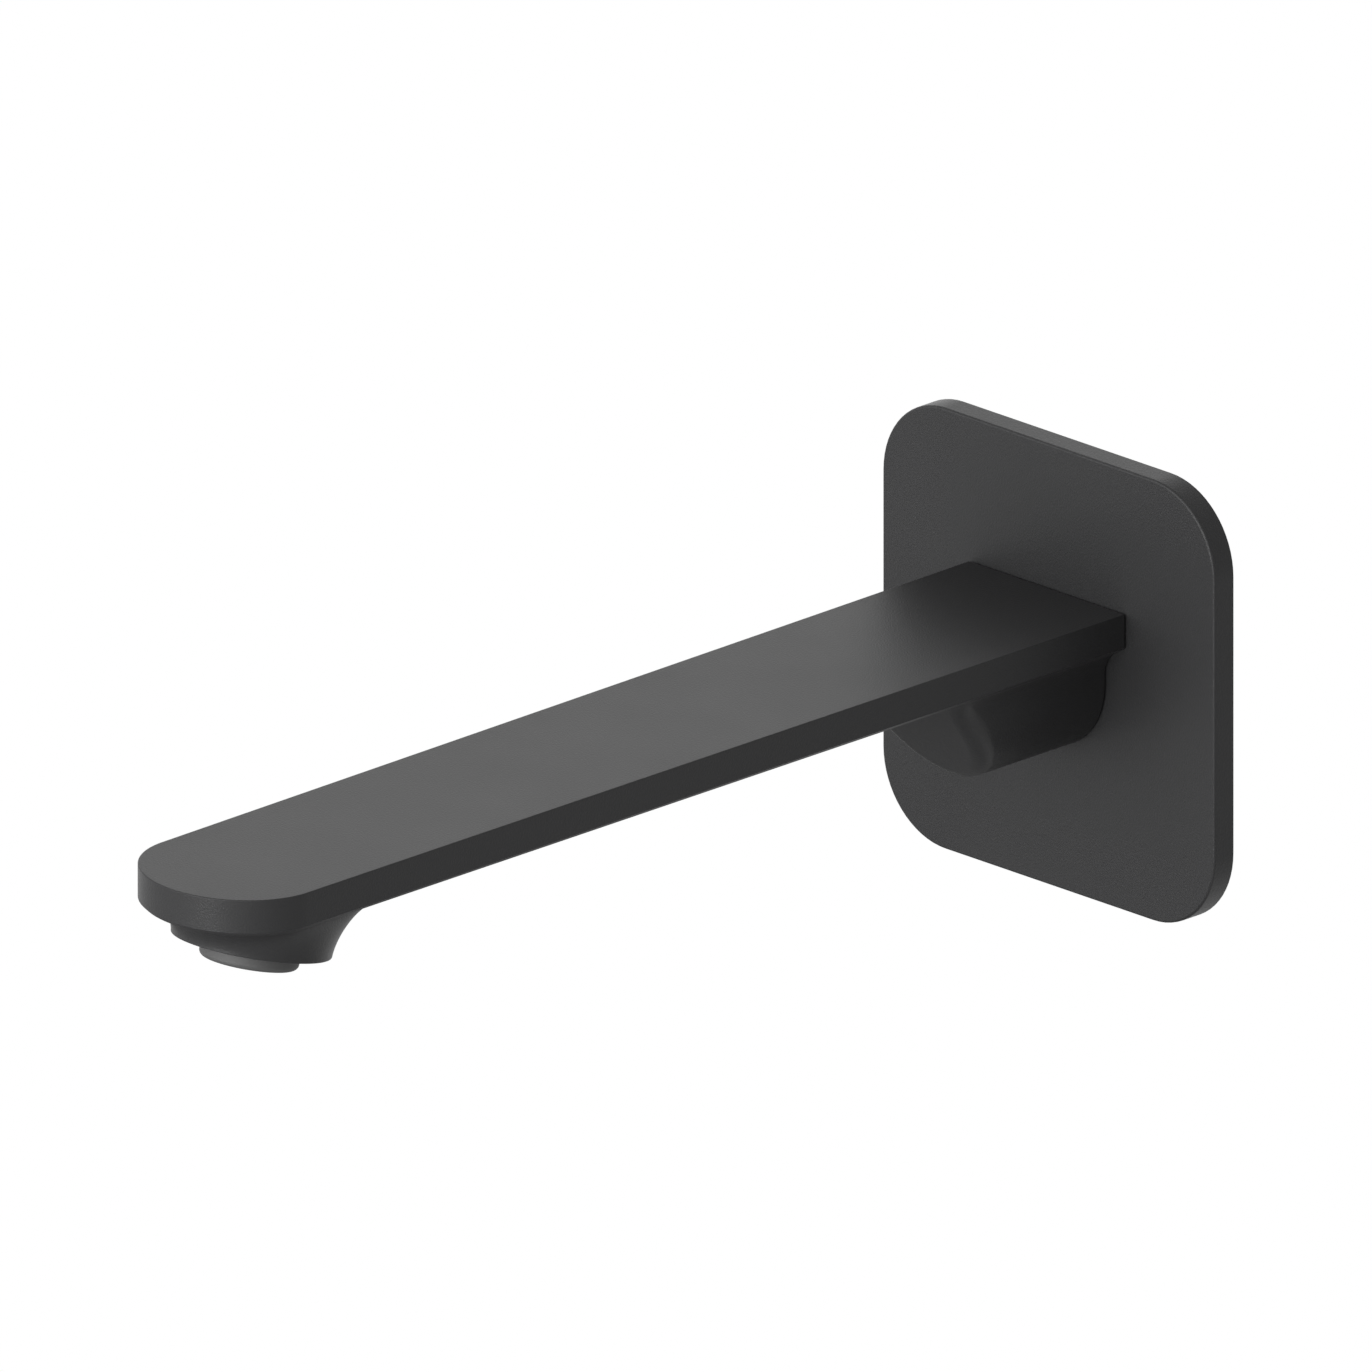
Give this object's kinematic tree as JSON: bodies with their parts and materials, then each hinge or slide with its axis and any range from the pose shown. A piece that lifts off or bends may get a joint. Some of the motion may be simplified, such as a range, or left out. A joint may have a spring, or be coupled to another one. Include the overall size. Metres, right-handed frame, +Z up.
{
  "type": "bath spout",
  "caption": "Wall mounted bath spout: flat tapering arm on a square cover plate, threaded inlet socket behind, tilted round outlet with an aerator under the tip.",
  "frame": {"origin": "on the wall, on the axis of the inlet socket and at the middle of the cover plate", "axes": "+Z up, +Y into the wall, so the arm reaches out along -Y; +X is the right hand of someone who faces the wall"},
  "size_m": [0.08, 0.2159, 0.08],
  "materials": {
    "coated_metal": "matte",
    "grey_plastic": "satin",
    "pale_plastic": "satin",
    "rubber": "matte",
    "foam": "matte"
  },
  "bodies": {
    "root": {"spout_body": "coated_metal", "wall_plate": "coated_metal", "plate_gasket": "foam", "plate_ring": "rubber", "inlet_washer": "rubber", "outlet_seal": "rubber", "aerator_housing": "grey_plastic", "stream_grid": "grey_plastic", "mixing_ring": "pale_plastic", "jet_plate": "pale_plastic", "filter_dome": "pale_plastic"}
  },
  "joints": []
}
